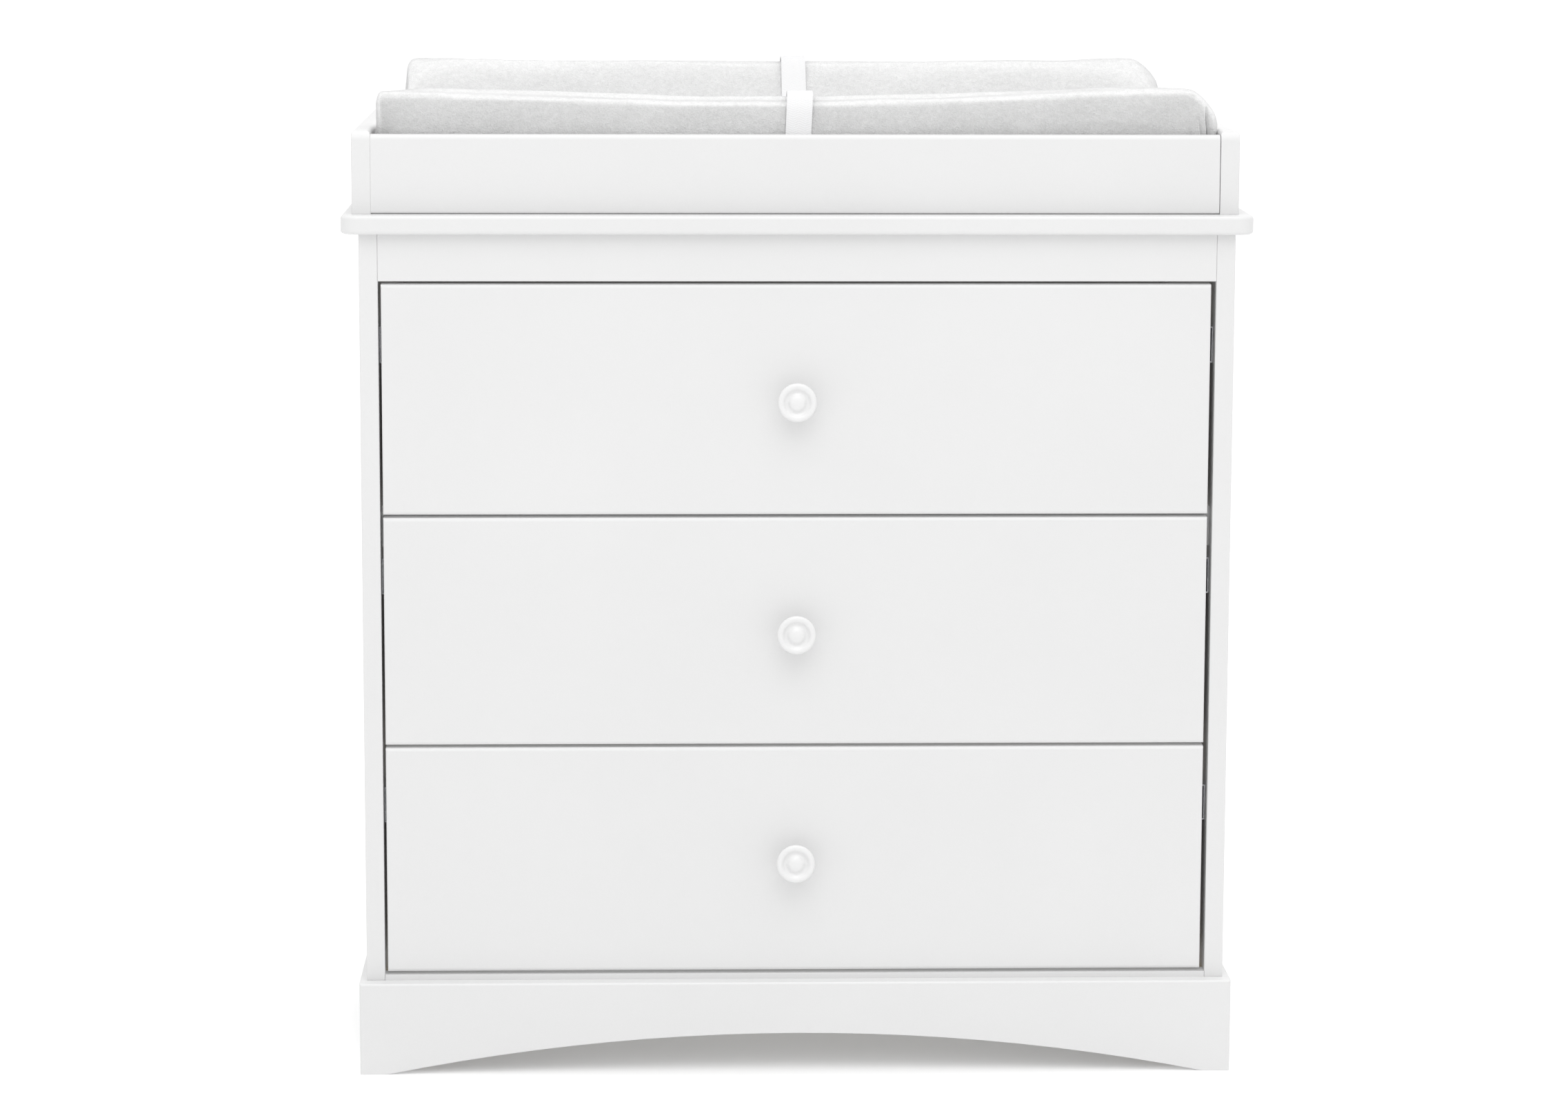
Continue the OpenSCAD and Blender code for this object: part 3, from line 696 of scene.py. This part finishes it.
def coverDetails(mesh):
    crease = folds["crease"]
    outward = [v.normal.copy() for v in mesh.vertices]
    for vert, out in zip(mesh.vertices, outward):
        x, y, z = vert.co.x - padMiddle, vert.co.y - padLow[1], vert.co.z - padLow[2]
        lumps = 0.0
        for lump in folds["lumps"]:
            place = Vector([a * b + c for a, b, c in zip((x, y, z), lump["scale"], lump["shift"])])
            lumps += noise.noise(place) * lump["depth"]
        lumps *= smoothStep(0.004, 0.03, z)
        if y < 0.05:
            for gather in folds["gathers"]:
                line = gather["x"] - gather["lean"] * (z - 0.06)
                near = math.exp(-((x - line) / gather["wide"]) ** 2)
                lumps -= gather["depth"] * near * (1 - smoothStep(gather["top"] - 0.02, gather["top"], z))
            if crease["fromX"] - 0.02 < x < crease["toX"] + 0.02:
                line = crease["height"] - crease["fall"] * (x - crease["fromX"])
                ends = smoothStep(crease["fromX"] - 0.02, crease["fromX"] + 0.01, x)
                ends *= 1 - smoothStep(crease["toX"] - 0.01, crease["toX"] + 0.02, x)
                lumps += crease["depth"] * ends * math.exp(-((z - line) / crease["wide"]) ** 2)
        vert.co += out * lumps


def makePad():
    made = addPiece("padCover", meshFrom(shapedPad(), "padCover"), "plushCover", "changing_pad",
                    ["pad"])
    even = made.modifiers.new("even", "REMESH")
    even.mode = "VOXEL"
    even.voxel_size = pad["voxel"]
    applied(made)
    swollen(made)
    finer = made.modifiers.new("finer", "SUBSURF")
    finer.levels = finer.render_levels = 1
    mesh = applied(made)
    finerCorner(mesh)
    coverDetails(mesh)
    low = padLow[2]
    clear = pad["trayGap"]
    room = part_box("tray_left_rail")[1][0] + clear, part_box("tray_right_rail")[0][0] - clear
    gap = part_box("tray_front_rail")[1][1] + clear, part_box("tray_back_rail")[0][1] - clear
    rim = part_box("tray_left_rail")[1][2]
    for vert in mesh.vertices:
        vert.co.z = max(vert.co.z, low)
        vert.co.y = min(max(vert.co.y, gap[0]), gap[1])
        if vert.co.z < rim:
            vert.co.x = min(max(vert.co.x, room[0]), room[1])
    for face in mesh.polygons:
        face.use_smooth = True
    return made


padCover = makePad()
print("pad cover made")

# safety strap and its side-release buckle

strap = dict(width=0.025, thick=0.0014, clear=0.0009, proud=0.0042, bowed=0.030, hang=0.022,
             spacing=0.003, across=6, passes=6, frontLean=-0.0038, leanLength=0.12, tucked=0.004,
             edgeRound=0.0004)


def padSurface():
    bm = bmesh.new()
    bm.from_mesh(padCover.data)
    tree = BVHTree.FromBMesh(bm)
    bm.free()
    return tree


def strapRoute(front, x, surface, inner):  # from the hanging end, over the crest, to the buckle
    crest = crestHeights(x - padMiddle)[0 if front else 1]
    reach = pad["crestIn"] + pad["slope"]
    rough = [Vector((0.0, 0.0, h)) for h in (strap["hang"], crest * 0.5, crest - pad["crestRound"])]
    steps = 30
    for step in range(1, steps + 1):
        y = (reach + 0.02) * step / steps
        rough.append(Vector((0.0, y, padTop(x - padMiddle, min(y, reach)))))
    rough = [p for p in rough if p.y < inner]
    rough.append(Vector((0.0, inner, rough[-1].z)))
    line = []
    for a, b in zip(rough, rough[1:]):
        parts = max(int((b - a).length / strap["spacing"]), 1)
        line += [a.lerp(b, i / parts) for i in range(parts)]
    line.append(rough[-1])
    for dot in line:
        dot.x = x
        dot.y = padLow[1] + dot.y if front else padHigh[1] - dot.y
        dot.z += padLow[2]
    for turn in range(strap["passes"]):  # lifts the line clear of the cover, then eases it
        for dot in line:
            for off in (-0.4, 0.0, 0.4):
                probe = dot + Vector((off * strap["width"], 0, 0))
                near, normal = surface.find_nearest(probe)[:2]
                lift = strap["clear"] - (probe - near).dot(normal)
                if lift > 0:
                    dot += Vector((0, normal.y, normal.z)) * lift
        eased = [(a + b * 2 + c) / 4 for a, b, c in zip(line, line[1:], line[2:])]
        line = [line[0]] + eased + [line[-1]]
    top = max(dot.z for dot in line)
    for dot in line:  # the webbing is stiff, so it bows up off the crest
        dot.z += strap["proud"] * smoothStep(top - strap["bowed"], top, dot.z)
    return line


def strapMesh(name, line, lean):
    bm = bmesh.new()
    rows, columns = len(line) - 1, strap["across"]
    bmesh.ops.create_grid(bm, x_segments=columns, y_segments=rows, size=0.5)
    layer = bm.loops.layers.uv.new("threads")
    runs = [0.0]
    for a, b in zip(line, line[1:]):
        runs.append(runs[-1] + (b - a).length)
    places = {v: (v.co.x, round((v.co.y + 0.5) * rows)) for v in bm.verts}
    for face in bm.faces:
        for loop in face.loops:
            across, row = places[loop.vert]
            loop[layer].uv = (across * strap["width"] * 1000, runs[row] * 1000)
    for vert, (across, row) in places.items():
        shift = lean * (1 - smoothStep(0.0, strap["leanLength"], runs[row]))
        vert.co = line[row] + Vector((across * strap["width"] + shift, 0, 0))
    mesh = bpy.data.meshes.new(name)
    for face in bm.faces:
        face.smooth = True
    bmesh.ops.recalc_face_normals(bm, faces=bm.faces)
    bm.normal_update()
    if sum(f.normal.z for f in bm.faces) < 0:
        bmesh.ops.reverse_faces(bm, faces=bm.faces)
    bm.to_mesh(mesh)
    bm.free()
    return mesh, runs[-1]


stitch = dict(fromEnd=0.010, toEnd=0.042, hem=0.003, apart=0.0026, size=(0.00095, 0.0003, 0.00025))


def makeStitches(name, line):  # the box and cross that hold the folded end
    bm = bmesh.new()
    sewn = [dot for dot in line if stitch["fromEnd"] < (line[-1] - dot).length < stitch["toEnd"]]
    half, top = strap["width"] / 2 - stitch["hem"], strap["thick"] + stitch["size"][2]
    start, end = sewn[0] + Vector((0, 0, top)), sewn[-1] + Vector((0, 0, top))
    corners = [start + Vector((-half, 0, 0)), start + Vector((half, 0, 0)), end + Vector((half, 0, 0)),
               end + Vector((-half, 0, 0))]
    shape = Matrix.Diagonal((*stitch["size"], 1))
    for a, b in ((0, 1), (1, 2), (2, 3), (3, 0), (0, 2), (1, 3)):
        run = corners[b] - corners[a]
        turn = run.to_track_quat("X", "Z").to_matrix().to_4x4()
        count = max(int(run.length / stitch["apart"]), 1)
        for step in range(count):
            place = corners[a] + run * (step + 0.5) / count
            bmesh.ops.create_icosphere(bm, subdivisions=1, radius=1.0,
                                       matrix=Matrix.Translation(place) @ turn @ shape)
    addPiece(name, meshFrom(bm, name), "sewingThread", "changing_pad")


def makeStraps():
    surface = padSurface()
    plug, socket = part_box("buckle_plug"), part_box("buckle_socket")
    tucked = strap["tucked"]  # this much of each end is hidden in the buckle
    parts = [("strapFront", "strap_front", True, plug[0][1] + tucked - padLow[1], strap["frontLean"]),
             ("strapRear", "strap_rear", False, padHigh[1] - socket[1][1] + tucked, 0.0)]
    for name, cadNode, front, inner, lean in parts:
        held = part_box(cadNode)
        line = strapRoute(front, (held[0][0] + held[1][0]) / 2, surface, inner)
        mesh, length = strapMesh(name, line, lean)
        made = addPiece(name, mesh, "strapWebbing", "changing_pad", [cadNode])
        body = made.modifiers.new("body", "SOLIDIFY")
        body.thickness = strap["thick"]
        body.offset = 1.0
        soft = made.modifiers.new("soft", "BEVEL")
        soft.width = strap["edgeRound"]
        soft.segments = 2
        applied(made)
        makeStitches(name + "Stitches", line)


makeStraps()
print("straps laid")

buckle = dict(
    socketCuts=((0, (0.16, 0.84)), (1, (0.2, 0.5, 0.76, 0.9))), slotDepth=0.8,  # shares of the socket's box
    waist=(0.15, 0.55), waistIn=0.002, plugLength=0.019, plugThick=0.008, slotInset=0.0045, slotEnd=0.0105,
    plugSlotDepth=0.006, round=0.00072)


def cutAcross(bm, axis, place):
    normal = Vector((axis == 0, axis == 1, axis == 2))
    bmesh.ops.bisect_plane(bm, geom=bm.verts[:] + bm.edges[:] + bm.faces[:], plane_co=normal * place,
                           plane_no=normal)


def hollowed(bm, low, high, depth):  # sinks a pocket into the upper faces within a rectangle
    cut = [f for f in bm.faces if f.normal.z > 0.9 and low[0] < f.calc_center_median().x < high[0]
           and low[1] < f.calc_center_median().y < high[1]]
    moved = bmesh.ops.extrude_face_region(bm, geom=cut)["geom"]
    bmesh.ops.delete(bm, geom=cut, context="FACES")
    sunk = [v for v in moved if isinstance(v, bmesh.types.BMVert)]
    bmesh.ops.translate(bm, verts=sunk, vec=(0, 0, -depth))


def shapedSocket(low, high):
    bm = bmesh.new()
    boxIn(bm, low, high)
    span = high - low
    for axis, shares in buckle["socketCuts"]:
        for share in shares:
            cutAcross(bm, axis, low[axis] + span[axis] * share)
    (left, right), (slotFront, slotBack) = buckle["socketCuts"][0][1], buckle["socketCuts"][1][1][2:]
    hollowed(bm, (low.x + span.x * left, low.y + span.y * slotFront),
             (low.x + span.x * right, low.y + span.y * slotBack), span.z * buckle["slotDepth"])
    for vert in bm.verts:  # the thumb windows at both sides
        if buckle["waist"][0] < (vert.co.y - low.y) / span.y < buckle["waist"][1]:
            vert.co.x += buckle["waistIn"] * (1 if vert.co.x < (low.x + high.x) / 2 else -1)
    return bm


def shapedPlug(low, high):
    bm = bmesh.new()
    boxIn(bm, low, (high.x, low.y + buckle["plugLength"], low.z + buckle["plugThick"]))
    inset, slotEnd = buckle["slotInset"], buckle["slotEnd"]
    for axis, place in ((0, low.x + inset), (0, high.x - inset), (1, low.y + inset), (1, low.y + slotEnd)):
        cutAcross(bm, axis, place)
    hollowed(bm, (low.x + inset, low.y + inset), (high.x - inset, low.y + slotEnd), buckle["plugSlotDepth"])
    return bm


def makeBuckle():
    for name, cadNode, shape in (("buckleSocketShell", "buckle_socket", shapedSocket),
                                 ("bucklePlugShell", "buckle_plug", shapedPlug)):
        bm = shape(*(Vector(p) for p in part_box(cadNode)))
        sharp = [e for e in bm.edges if len(e.link_faces) == 2 and e.calc_face_angle() > 0.5]
        bevelEdges(bm, sharp, buckle["round"], 2)
        bmesh.ops.remove_doubles(bm, verts=bm.verts, dist=0.00002)
        addPiece(name, meshFrom(bm, name, False), "whitePlastic", "changing_pad", [cadNode])


makeBuckle()
print("buckle made")

size = dict(cadLow=list(cadBox[0]), cadHigh=list(cadBox[1]))
low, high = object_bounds()
size.update(low=list(low), high=list(high))
